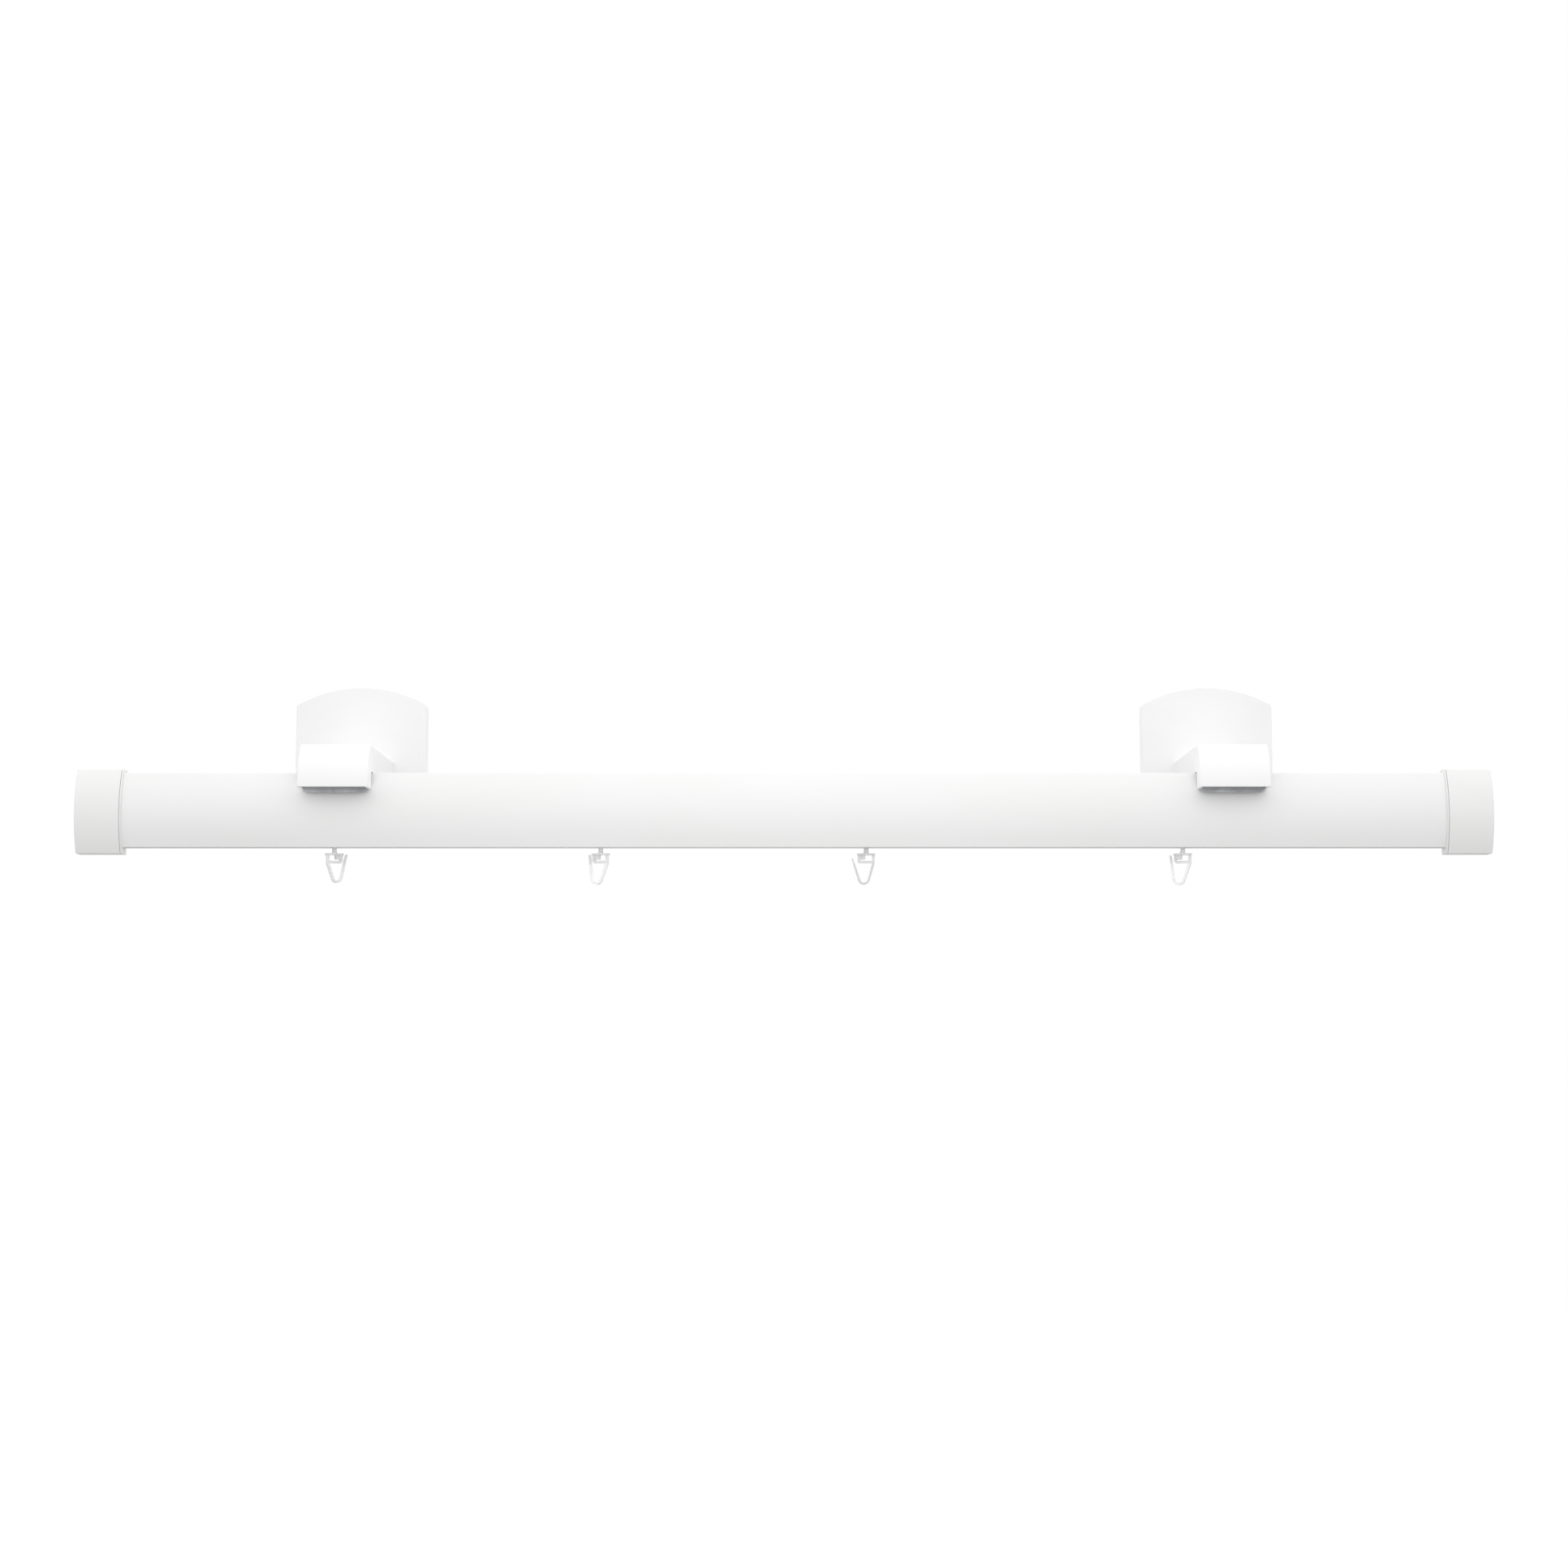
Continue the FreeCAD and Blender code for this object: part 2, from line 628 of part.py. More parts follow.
def make_bracket(name, side):
    across = f"{side} * Size.bracket_spacing / 2"
    make_wall_plate(f"{name}_wall_plate", side)
    make_plate_cover(f"{name}_plate_cover", side)
    make_arm(f"{name}_arm", side)
    bolt_seat = "-(Size.base_thickness + Size.arm_tab)"
    bolt_length = "Size.base_thickness + Size.arm_tab - Size.bolt_short"
    make_screw_pair(f"{name}_arm_bolts", "Size.bolt_spacing", "Size.bolt_radius", bolt_length,
                    "Size.bolt_head", "Size.bolt_head_height",
                    (across, bolt_seat, "Size.bolt_height"), 90)
    make_arm_cover(f"{name}_arm_cover", side)
    make_rail_clamp(f"{name}_rail_clamp", side)
    make_screw_pair(f"{name}_clamp_screws", "Size.clamp_pitch", "Size.screw_radius",
                    "Size.screw_length", "Size.screw_head", "Size.screw_head_height",
                    (across, "-Size.slot_reach", WEB_TOP), 0)


# ---------------------------------------------------------------- gliders and hooks
LIP_TOP = "-(Size.rail_height / 2 - Size.lip)"


def make_glider(index):
    """A slider that rides on the lips of the lower slot and carries one hook's stem."""
    body = new_body(f"glider_{index}", f"Size.hook_{index}_place", **ROD_PLACE)
    half = "Size.glider_length / 2"
    base = f"{LIP_TOP} + Size.glider_gap"
    block = box_outline(f"-{half}", half, "-Size.glider_width / 2", "Size.glider_width / 2")
    slab = pad(body, sketch_of(body, "block", "XY_Plane", [block], base), "Size.glider_height")
    round_edges(body, slab, "Size.glider_round", lambda edge: runs_along(edge, "z"))
    key_half = "Size.glider_key_length / 2"
    key = box_outline(f"-{key_half}", key_half, "-Size.glider_key_width / 2", "Size.glider_key_width / 2")
    pad(body, sketch_of(body, "key", "XY_Plane", [key], base), "Size.glider_key_depth", True)
    hole = new_sketch(body, "hole", "XY_Plane")
    draw_circle(hole, "0", "0", "Size.stem_hole / 2")
    pocket(body, hole, None, both_ways=True)


def tangent_point(start, centre, radius, side):
    """Where the line from start touches the circle, passing it on the given side."""
    to_start = start - centre
    angle = math.atan2(to_start.y, to_start.x) + side * math.acos(radius / to_start.Length)
    return centre + FreeCAD.Vector(math.cos(angle), math.sin(angle), 0) * radius


def loop_outline(index):
    """The hook in its own plane: a small frame whose right leg runs on round a V with a free tip."""
    centre = (f"Size.hook_{index}_loop_across", f"Size.hook_{index}_loop_down")
    middle = FreeCAD.Vector(number(centre[0]), number(centre[1]), 0)
    outer = f"Size.hook_{index}_loop_radius + Size.loop_thickness / 2"
    inner = f"Size.hook_{index}_loop_radius - Size.loop_thickness / 2"
    left, right, bottom = "-Size.frame_left", "Size.frame_right", "-Size.frame_height"
    leg = "Size.frame_right - Size.leg"
    tip, tip_up = f"Size.hook_{index}_tip_across", f"Size.hook_{index}_tip_down"
    tip_out = (f"{tip} - Size.tip_thickness / 2", tip_up)
    tip_in = (f"{tip} + Size.tip_thickness / 2", tip_up)

    def touch(start, radius, side):
        point = FreeCAD.Vector(number(start[0]), number(start[1]), 0)
        return tangent_point(point, middle, number(radius), side)

    right_out, left_out = touch((right, bottom), outer, -1), touch(tip_out, outer, 1)
    left_in, right_in = touch(tip_in, inner, 1), touch((leg, bottom), inner, -1)
    return [
        Corner(left, "0"),
        Corner(right, "0"),
        Corner(right, bottom),
        Corner(right_out.x, right_out.y, outer, -1, True, centre),
        Corner(left_out.x, left_out.y, None, 1, True),
        Corner(*tip_out),
        Corner(*tip_in),
        Corner(left_in.x, left_in.y, inner, 1, True, centre),
        Corner(right_in.x, right_in.y, None, 1, True),
        Corner(leg, bottom),
        Corner(left, bottom),
    ]


def window_outline():
    """The opening in the hook's frame, with the square block hanging into its upper left."""
    left = "-Size.frame_left + Size.frame_bar"
    right = "Size.frame_right - Size.leg"
    top, bottom = "-Size.top_height", "-Size.frame_height + Size.frame_bar"
    block_right, block_bottom = f"{left} + Size.block_width", "-Size.block_height"
    return [
        Corner(left, block_bottom),
        Corner(left, bottom),
        Corner(right, bottom),
        Corner(right, top),
        Corner(block_right, top),
        Corner(block_right, block_bottom),
    ]


def make_hook(index):
    """A moulded curtain hook; its stem turns in the glider and hangs there by a slit head."""
    body = new_body(f"hook_{index}", f"Size.hook_{index}_place", **ROD_PLACE)
    turn = number(f"Size.hook_{index}_turn")
    body.Placement.Rotation = FreeCAD.Rotation(FreeCAD.Vector(0, 0, 1), turn)
    top = "-(Size.rail_height / 2 + Size.stem_length)"
    half = "Size.top_width / 2"
    plate = box_outline(f"-{half}", half, "-Size.top_depth / 2", "Size.top_depth / 2")
    slab = pad(body, sketch_of(body, "plate", "XY_Plane", [plate], top), "Size.top_height", True)
    round_edges(body, slab, "Size.top_round", lambda edge: runs_along(edge, "z"))
    ribbon = sketch_of(body, "ribbon", "XZ_Plane", [loop_outline(index), window_outline()], up=top)
    pad(body, ribbon, "Size.ribbon_depth", both_ways=True)
    seat = f"{LIP_TOP} + 2 * Size.glider_gap + Size.glider_height"
    crown = f"{seat} + Size.head_height"
    sink = f"{top} - Size.top_height / 2"
    profile = [
        Corner("0", sink),
        Corner("Size.stem_flare", sink),
        Corner("Size.stem_flare", top),
        Corner("Size.stem_radius", f"{top} + Size.flare_height"),
        Corner("Size.stem_radius", seat),
        Corner("Size.head_radius", seat),
        Corner("Size.head_radius - Size.head_taper", crown),
        Corner("0", crown),
    ]
    stem_sketch = sketch_of(body, "stem", "XZ_Plane", [profile])
    stem = body.newObject("PartDesign::Revolution", f"{body.Name}_stem_turned")
    stem.Profile = stem_sketch
    stem.ReferenceAxis = (stem_sketch, ["V_Axis"])
    stem.Angle = 360
    doc.recompute()
    slit_half = "Size.head_slit / 2"
    beside = "Size.head_radius + Size.overshoot"
    slit = box_outline(f"-({beside})", beside, f"-{slit_half}", slit_half)
    slit_sketch = sketch_of(body, "slit", "XY_Plane", [slit], crown)
    pocket(body, slit_sketch, "Size.head_height + Size.overshoot")


# ---------------------------------------------------------------- the whole rod
def check_objects():
    for thing in doc.Objects:
        if {"Invalid", "Error"} & set(thing.State):
            raise RuntimeError(f"{thing.Name}: {thing.State}")
    for piece in parts:
        if piece.Shape.isNull() or not piece.Shape.isValid():
            raise RuntimeError(f"{piece.Label} has no sound shape")


def write_parts():
    os.makedirs("parts", exist_ok=True)
    for piece in parts:
        piece.Shape.exportStep(f"parts/{piece.Label}.step")
        box = piece.Shape.BoundBox
        print(f"{piece.Label}: {len(piece.Shape.Solids)} solid(s), {piece.Shape.Volume:.0f} mm3, "
              f"{box.XLength:.1f} x {box.YLength:.1f} x {box.ZLength:.1f}")


fill_sheet()
make_rail()
for name, side in SIDES.items():
    make_end_plug(f"{name}_end_plug", side)
    make_end_cap(f"{name}_end_cap", side)
    make_bracket(name, side)
for index in HOOKS:
    make_glider(index)
    make_hook(index)
doc.recompute()
check_objects()
write_parts()
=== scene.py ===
# %% [markdown]
# # A curtain rod with brackets
#
# The real object is a wide white rail that hangs from two hooded brackets on a wall. Square caps
# close its ends, and four small plastic hooks hang from the slot along its underside. The frame
# was designed in CAD, so every cell below starts from its named pieces and never moves them.

# %% Load the frame
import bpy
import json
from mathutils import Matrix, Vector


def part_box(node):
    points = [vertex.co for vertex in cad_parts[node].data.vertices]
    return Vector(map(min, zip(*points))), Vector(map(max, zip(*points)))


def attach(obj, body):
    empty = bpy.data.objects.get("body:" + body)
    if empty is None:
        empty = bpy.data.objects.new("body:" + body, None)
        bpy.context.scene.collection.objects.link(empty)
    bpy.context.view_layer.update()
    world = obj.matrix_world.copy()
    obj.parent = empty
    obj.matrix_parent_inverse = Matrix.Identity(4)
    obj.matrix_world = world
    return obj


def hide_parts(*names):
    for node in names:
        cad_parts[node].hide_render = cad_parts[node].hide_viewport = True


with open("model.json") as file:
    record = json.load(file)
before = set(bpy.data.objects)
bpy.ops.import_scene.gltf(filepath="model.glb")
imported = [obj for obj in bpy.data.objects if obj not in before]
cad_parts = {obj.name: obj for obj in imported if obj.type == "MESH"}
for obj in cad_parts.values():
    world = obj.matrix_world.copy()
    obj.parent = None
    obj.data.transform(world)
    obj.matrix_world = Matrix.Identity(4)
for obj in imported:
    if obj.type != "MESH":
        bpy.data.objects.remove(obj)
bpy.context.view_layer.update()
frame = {"nodes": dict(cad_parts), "record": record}

# %% [markdown]
# ## Tools and short names
#
# Blender and the frame both measure in metres, but the small hooks and the grain of a surface are
# easier to think about in millimetres, so MM turns one into the other. Camera and hooks are
# placed by the rail, which is why its box is measured first.

# %% Tools and short names
import json
import math

import bmesh
import bpy
from mathutils import Matrix, Vector

MM = 0.001
NODES = frame["nodes"]
scene = bpy.context.scene


def middle(node):
    """The centre of a node's box, in metres."""
    low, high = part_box(node)
    return (Vector(low) + Vector(high)) / 2


rail_low, rail_high = (Vector(corner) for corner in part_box("rail_profile"))
print("rail:", round(rail_high.x - rail_low.x, 3), "m long")

# %% [markdown]
# ## Camera
#
# A catalogue picture of a rod is taken from the room, a little below the rod and square to it,
# so that the underside shows as a thin line. A moderately long lens keeps the arms short behind
# the hoods. The camera looks up slightly, which puts the rod at the middle of the picture.

# %% Camera
EYE_BELOW_ROD = 0.18385  # metres, like the next one
EYE_IN_FRONT = 1.9
LOOK_UP = math.radians(6.06)
LENS = 62.22
LEVEL = math.radians(90)  # a camera without a turn looks straight down

camera = bpy.data.objects.new("camera", bpy.data.cameras.new("camera"))
camera.data.lens = LENS
camera.location = (0, rail_low.y - EYE_IN_FRONT, middle("rail_profile").z - EYE_BELOW_ROD)
camera.rotation_euler = (LEVEL + LOOK_UP, 0, 0)
scene.collection.objects.link(camera)
scene.camera = camera
print("camera at", [round(v, 3) for v in camera.location])

# %% [markdown]
# ## Studio dome
#
# A white object on white needs light that is soft but not equal from all sides, or its curves
# vanish. A studio does this with a big bright ceiling and a duller floor. The world below is such
# a dome: bright above, dimmer below, with a smooth change at eye level. What the camera sees
# behind the rod is plain white. A node tree on the world does both, because a ray can tell
# whether it comes straight from the camera.

# %% Node helpers
def add_node(tree, kind, **settings):
    """A new node of a tree, with its properties set."""
    node = tree.nodes.new(kind)
    for name, value in settings.items():
        setattr(node, name, value)
    return node


def map_range(tree, source, old=(0, 1), new=(0, 1)):
    """A Map Range node that takes a socket's old range smoothly to a new one."""
    node = add_node(tree, "ShaderNodeMapRange", interpolation_type="SMOOTHSTEP")
    for name, value in zip(("From Min", "From Max", "To Min", "To Max"), (*old, *new)):
        node.inputs[name].default_value = value
    tree.links.new(source, node.inputs["Value"])
    return node.outputs["Result"]


print("helpers:", add_node.__name__, map_range.__name__)

# %% Studio dome
DOME_ABOVE = 1.24
DOME_BELOW = 0.57
EYE_LEVEL_BLEND = 0.35  # how far above and below eye level the two run into each other
WHITE = (1, 1, 1, 1)


def light_dome():
    """A world that lights from all sides and shows plain white to the camera."""
    world = bpy.data.worlds.new("studio")
    world.use_nodes = True
    tree = world.node_tree
    dome = tree.nodes["Background"]
    dome.inputs["Color"].default_value = WHITE
    direction = add_node(tree, "ShaderNodeTexCoord")
    height = add_node(tree, "ShaderNodeSeparateXYZ")
    tree.links.new(direction.outputs["Generated"], height.inputs[0])
    level = map_range(tree, height.outputs["Z"], (-EYE_LEVEL_BLEND, EYE_LEVEL_BLEND),
                      (DOME_BELOW, DOME_ABOVE))
    tree.links.new(level, dome.inputs["Strength"])
    backdrop = add_node(tree, "ShaderNodeBackground")
    backdrop.inputs["Color"].default_value = WHITE
    chooser = add_node(tree, "ShaderNodeMixShader")
    ray = add_node(tree, "ShaderNodeLightPath")
    tree.links.new(ray.outputs["Is Camera Ray"], chooser.inputs["Fac"])
    tree.links.new(dome.outputs[0], chooser.inputs[1])
    tree.links.new(backdrop.outputs[0], chooser.inputs[2])
    tree.links.new(chooser.outputs[0], tree.nodes["World Output"].inputs["Surface"])
    return world


scene.world = light_dome()
scene.view_settings.view_transform = "Standard"
print("dome:", DOME_ABOVE, "above and", DOME_BELOW, "below")

# %% [markdown]
# ## Fill light
#
# The lower half of the rail turns away from the bright ceiling and would look dull. A brighter
# lower half of the dome could lift it, but would wash out the shade under the hoods as well. So
# one large soft lamp stands low in front of the middle, where the rail gets most of it. It is
# hidden from the camera and from reflections, because the paint should not show its round glint.

# %% Fill light
FILL_POWER = 0.36  # watts
FILL_SIZE = 0.3
FILL_PLACE = (0, -0.55, -0.3)


def hang_fill():
    """A large soft lamp in front of the middle and below it, which lifts the rail's lower half."""
    lamp = bpy.data.lights.new("fill", "AREA")
    lamp.shape = "DISK"
    lamp.size = FILL_SIZE
    lamp.energy = FILL_POWER
    fill = bpy.data.objects.new("fill", lamp)
    fill.location = FILL_PLACE
    aim = middle("rail_profile") - Vector(FILL_PLACE)
    fill.rotation_euler = aim.to_track_quat("-Z", "Y").to_euler()
    fill.visible_camera = fill.visible_glossy = False
    scene.collection.objects.link(fill)
    return fill


print("fill light at", [round(v, 2) for v in hang_fill().location])

# %% [markdown]
# ## Floor
#
# A plain pale sheet far below stands for the studio floor, and shows only when a view looks down.
# It could catch and throw back light like a real one. The dome already says how bright it is
# below, so here the sheet is kept out of the light that reaches the rod.

# %% Floor
FLOOR_SIZE = 60
FLOOR_HEIGHT = -3
FLOOR_CELLS = 4
PAPER = (0.95, 0.95, 0.95, 1)


def make_floor():
    """A wide pale plane that the camera sees but that throws no light back on the rod."""
    mesh = bpy.data.meshes.new("floor")
    sheet = bmesh.new()
    bmesh.ops.create_grid(sheet, x_segments=FLOOR_CELLS, y_segments=FLOOR_CELLS,
                          size=FLOOR_SIZE / 2)
    sheet.to_mesh(mesh)
    sheet.free()
    floor = bpy.data.objects.new("floor", mesh)
    floor.location.z = FLOOR_HEIGHT
    paper = bpy.data.materials.new("studio_paper")
    paper.use_nodes = True
    surface = paper.node_tree.nodes["Principled BSDF"]
    surface.inputs["Base Color"].default_value = PAPER
    surface.inputs["Roughness"].default_value = 1
    surface.inputs["Specular IOR Level"].default_value = 0
    mesh.materials.append(paper)
    scene.collection.objects.link(floor)
    floor.visible_diffuse = floor.visible_glossy = floor.visible_transmission = False
    floor.visible_shadow = False
    return floor


make_floor()
print("floor at", FLOOR_HEIGHT, "m")

# %% [markdown]
# ## Shared effects
#
# Several finishes need the same things: a fine grain, broad uneven patches, soft edges and the
# rubbed look along them, and a breath of dust on top. Each is a node group with its own inputs,
# built once. A group gives out only masks, heights and normals. The shader itself stays in each
# material, so that the finish can still be read and changed there.

# %% Node group helper
FLOAT, VECTOR = "NodeSocketFloat", "NodeSocketVector"


def new_group(name, inputs, outputs):
    """An empty shader node group. Inputs are (name, socket type, value); outputs (name, type)."""
    group = bpy.data.node_groups.new(name, "ShaderNodeTree")
    for title, kind, value in inputs:
        socket = group.interface.new_socket(title, in_out="INPUT", socket_type=kind)
        socket.default_value = value
    for title, kind in outputs:
        group.interface.new_socket(title, in_out="OUTPUT", socket_type=kind)
    return group, group.nodes.new("NodeGroupInput"), group.nodes.new("NodeGroupOutput")


print("socket types:", FLOAT, VECTOR)

# %% [markdown]
# ### Grain and patches
#
# No surface is perfectly even. Up close it has a grain, and over a hand's width its sheen and tone
# wander a little. Both could be pictures wrapped round the pieces. Noise needs no picture and no
# unwrapping, and since it is measured in the object's own metres its grain is as large as the
# real one on every piece. One number for each direction also lets it be drawn out into lines.

# %% Grain and patches
GRAIN_DETAIL = 2
PATCH_DETAIL = 3
PATCH_NOISE = (0.3, 0.7)  # the part of the noise that becomes the whole mask


def stretched_noise(group, stretch, detail):
    """Noise over the object's own metres; the stretch says how many grains are in a metre."""
    place = add_node(group, "ShaderNodeTexCoord")
    scaled = add_node(group, "ShaderNodeVectorMath", operation="MULTIPLY")
    group.links.new(place.outputs["Object"], scaled.inputs[0])
    group.links.new(stretch, scaled.inputs[1])
    noise = add_node(group, "ShaderNodeTexNoise")
    noise.inputs["Scale"].default_value = 1
    noise.inputs["Detail"].default_value = detail
    group.links.new(scaled.outputs[0], noise.inputs["Vector"])
    return noise.outputs["Fac"]


def make_grain_group():
    """A fine height from 0 to 1, for a bump."""
    group, given, out = new_group("surface_grain", [("Per Metre", VECTOR, (2000, 2000, 2000))],
                                  [("Height", FLOAT)])
    height = stretched_noise(group, given.outputs["Per Metre"], GRAIN_DETAIL)
    group.links.new(height, out.inputs["Height"])
    return group


def make_patch_group():
    """Broad soft patches from 0 to 1, for uneven sheen and tone."""
    group, given, out = new_group("soft_patches", [("Per Metre", VECTOR, (20, 20, 20))],
                                  [("Mask", FLOAT)])
    noise = stretched_noise(group, given.outputs["Per Metre"], PATCH_DETAIL)
    group.links.new(map_range(group, noise, PATCH_NOISE), out.inputs["Mask"])
    return group


grain_group = make_grain_group()
patch_group = make_patch_group()
print("groups:", grain_group.name, patch_group.name)

# %% [markdown]
# ### Soft edges
#
# A real edge is never a knife: it is rounded by a fraction of a millimetre and catches the light.
# Extra faces along every edge would do it too, but would change the designed pieces. The Bevel
# node bends only the normal. Where that normal no longer agrees with the face's own, there is an
# edge, so the same comparison gives a mask for wear.

# %% Soft edges
BEVEL_SAMPLES = 6
FLAT_TO_EDGE = (0.995, 0.75)  # how alike the two normals are where the mask is 0, and where 1


def make_edge_group():
    """A normal that rounds off hard edges, and a mask of where they are."""
    group, given, out = new_group("soft_edges", [("Radius", FLOAT, 0.4 * MM)],
                                  [("Normal", VECTOR), ("Mask", FLOAT)])
    bevel = add_node(group, "ShaderNodeBevel", samples=BEVEL_SAMPLES)
    group.links.new(given.outputs["Radius"], bevel.inputs["Radius"])
    flat = add_node(group, "ShaderNodeNewGeometry")
    likeness = add_node(group, "ShaderNodeVectorMath", operation="DOT_PRODUCT")
    group.links.new(bevel.outputs[0], likeness.inputs[0])
    group.links.new(flat.outputs["Normal"], likeness.inputs[1])
    group.links.new(bevel.outputs[0], out.inputs["Normal"])
    mask = map_range(group, likeness.outputs["Value"], FLAT_TO_EDGE)
    group.links.new(mask, out.inputs["Mask"])
    return group


edge_group = make_edge_group()
print("group:", edge_group.name)

# %% [markdown]
# ### Settled dust
#
# Dust lies where nobody wipes: on top of the rail and of the hoods. It could be painted on by
# hand. The direction a face looks in already says where dust can lie, so a mask of what faces up,
# broken up by noise, puts it on the rail, the caps and the covers alike.

# %% Settled dust
DUST_DETAIL = 5
FACING_UP = (0.5, 1)  # the upward part of the normal at which dust begins, and is thickest
DUST_NOISE = (0.4, 0.75)


def make_dust_group():
    """A mask of thin dust that lies on what faces up, broken up by noise."""
    group, given, out = new_group("settled_dust", [("Per Metre", VECTOR, (90, 90, 90))],
                                  [("Mask", FLOAT)])
    flat = add_node(group, "ShaderNodeNewGeometry")
    split = add_node(group, "ShaderNodeSeparateXYZ")
    group.links.new(flat.outputs["Normal"], split.inputs[0])
    facing_up = map_range(group, split.outputs["Z"], FACING_UP)
    noise = stretched_noise(group, given.outputs["Per Metre"], DUST_DETAIL)
    both = add_node(group, "ShaderNodeMath", operation="MULTIPLY")
    group.links.new(facing_up, both.inputs[0])
    group.links.new(map_range(group, noise, DUST_NOISE), both.inputs[1])
    group.links.new(both.outputs[0], out.inputs["Mask"])
    return group


dust_group = make_dust_group()
print("group:", dust_group.name)

# %% [markdown]
# ## Helpers for the finishes
#
# Every finish below is put together in the same way: place the shared groups, blend a few close
# colours by their masks, add and take away a little roughness, and stack the fine heights into
# one normal. Written as helpers, each finish then reads like a short recipe.

# %% Helpers for colour and roughness
def new_finish(name):
    """A material with its node tree and its shader."""
    material = bpy.data.materials.new(name)
    material.use_nodes = True
    return material, material.node_tree, material.node_tree.nodes["Principled BSDF"]


def place_group(tree, group, **values):
    """Puts a shared group into a material, with the values this finish needs."""
    node = add_node(tree, "ShaderNodeGroup", node_tree=group)
    for name, value in values.items():
        node.inputs[name.replace("_", " ").title()].default_value = value
    return node


def blend_colours(tree, mask, first, second):
    """A colour that runs from the first to the second by a mask. Each is a colour or a socket."""
    mix = add_node(tree, "ShaderNodeMix", data_type="RGBA")
    tree.links.new(mask, mix.inputs["Factor"])
    for socket, colour in ((mix.inputs["A"], first), (mix.inputs["B"], second)):
        if isinstance(colour, bpy.types.NodeSocket):
            tree.links.new(colour, socket)
        else:
            socket.default_value = (*colour, 1)
    return mix.outputs["Result"]


def combine(tree, operation, first, second):
    """A Math node over two sockets or numbers."""
    node = add_node(tree, "ShaderNodeMath", operation=operation)
    for socket, value in zip(node.inputs, (first, second)):
        if isinstance(value, bpy.types.NodeSocket):
            tree.links.new(value, socket)
        else:
            socket.default_value = value
    return node.outputs[0]


print("helpers:", new_finish.__name__, place_group.__name__, blend_colours.__name__,
      combine.__name__)

# %% Helper for fine heights
def raise_surface(tree, height, depth, normal=None):
    """A bump of the given depth in metres, on top of another normal."""
    bump = add_node(tree, "ShaderNodeBump")
    bump.inputs["Strength"].default_value = 1
    bump.inputs["Distance"].default_value = depth
    tree.links.new(height, bump.inputs["Height"])
    if normal is not None:
        tree.links.new(normal, bump.inputs["Normal"])
    return bump.outputs[0]


print("helper:", raise_surface.__name__)

# %% [markdown]
# ## White powder coat
#
# The rail is extruded aluminium with a satin white powder coat. Up close such a coat has a very
# soft orange peel about a millimetre across, and under it the faint long lines of the extrusion
# die. Both are heights for a bump: one noise is equal in all directions, the other is drawn out
# along the rod. The edges of the slots are a little glossier, where the coat is thin.

# %% Rail paint
PAINT = (0.89, 0.89, 0.893)
PAINT_WARM = (0.875, 0.873, 0.868)
PAINT_ROUGHNESS = (0.36, 0.44)
EDGE_GLOSS = 0.1  # how much less rough the thin coat is on an edge
LINE_DEPTH = 0.004 * MM
PEEL_DEPTH = 0.012 * MM
DUST = (0.78, 0.775, 0.76)
DUST_COVER = 0.35  # how much of the colour the thickest dust hides
DUST_DULLING = 0.25  # how much roughness it adds


def make_rail_paint():
    """Satin powder coat over drawn aluminium."""
    material, tree, shader = new_finish("rail_paint")
    edges = place_group(tree, edge_group, radius=0.4 * MM)
    peel = place_group(tree, grain_group, per_metre=(700, 700, 700))
    lines = place_group(tree, grain_group, per_metre=(6, 1500, 1500))
    patches = place_group(tree, patch_group, per_metre=(6, 30, 30))
    dust = place_group(tree, dust_group, per_metre=(60, 140, 140))
    tone = blend_colours(tree, patches.outputs["Mask"], PAINT, PAINT_WARM)
    hidden = combine(tree, "MULTIPLY", dust.outputs["Mask"], DUST_COVER)
    tree.links.new(blend_colours(tree, hidden, tone, DUST), shader.inputs["Base Color"])
    sheen = map_range(tree, patches.outputs["Mask"], new=PAINT_ROUGHNESS)
    dulling = combine(tree, "MULTIPLY", dust.outputs["Mask"], DUST_DULLING)
    gloss = combine(tree, "MULTIPLY", edges.outputs["Mask"], EDGE_GLOSS)
    sheen = combine(tree, "SUBTRACT", combine(tree, "ADD", sheen, dulling), gloss)
    tree.links.new(sheen, shader.inputs["Roughness"])
    drawn = raise_surface(tree, lines.outputs["Height"], LINE_DEPTH, edges.outputs["Normal"])
    peeled = raise_surface(tree, peel.outputs["Height"], PEEL_DEPTH, drawn)
    tree.links.new(peeled, shader.inputs["Normal"])
    return material


rail_paint = make_rail_paint()
print("finish:", rail_paint.name)

# %% [markdown]
# ## Moulded white plastic
#
# The caps, hoods and wall covers are injection moulded. The tool is spark eroded, so the skin has
# a very fine matt grain, finer than the coat on the rail, and the corners, which are touched most,
# polish slightly. The caps are given a little darker, warmer and smoother white than the covers.
# One recipe with two sets of values makes both.

# %% Cover and cap plastic
PLASTIC_DUST_COVER = 0.3
CORNER_GLOSS = 0.12
PLASTIC_IOR = 1.49


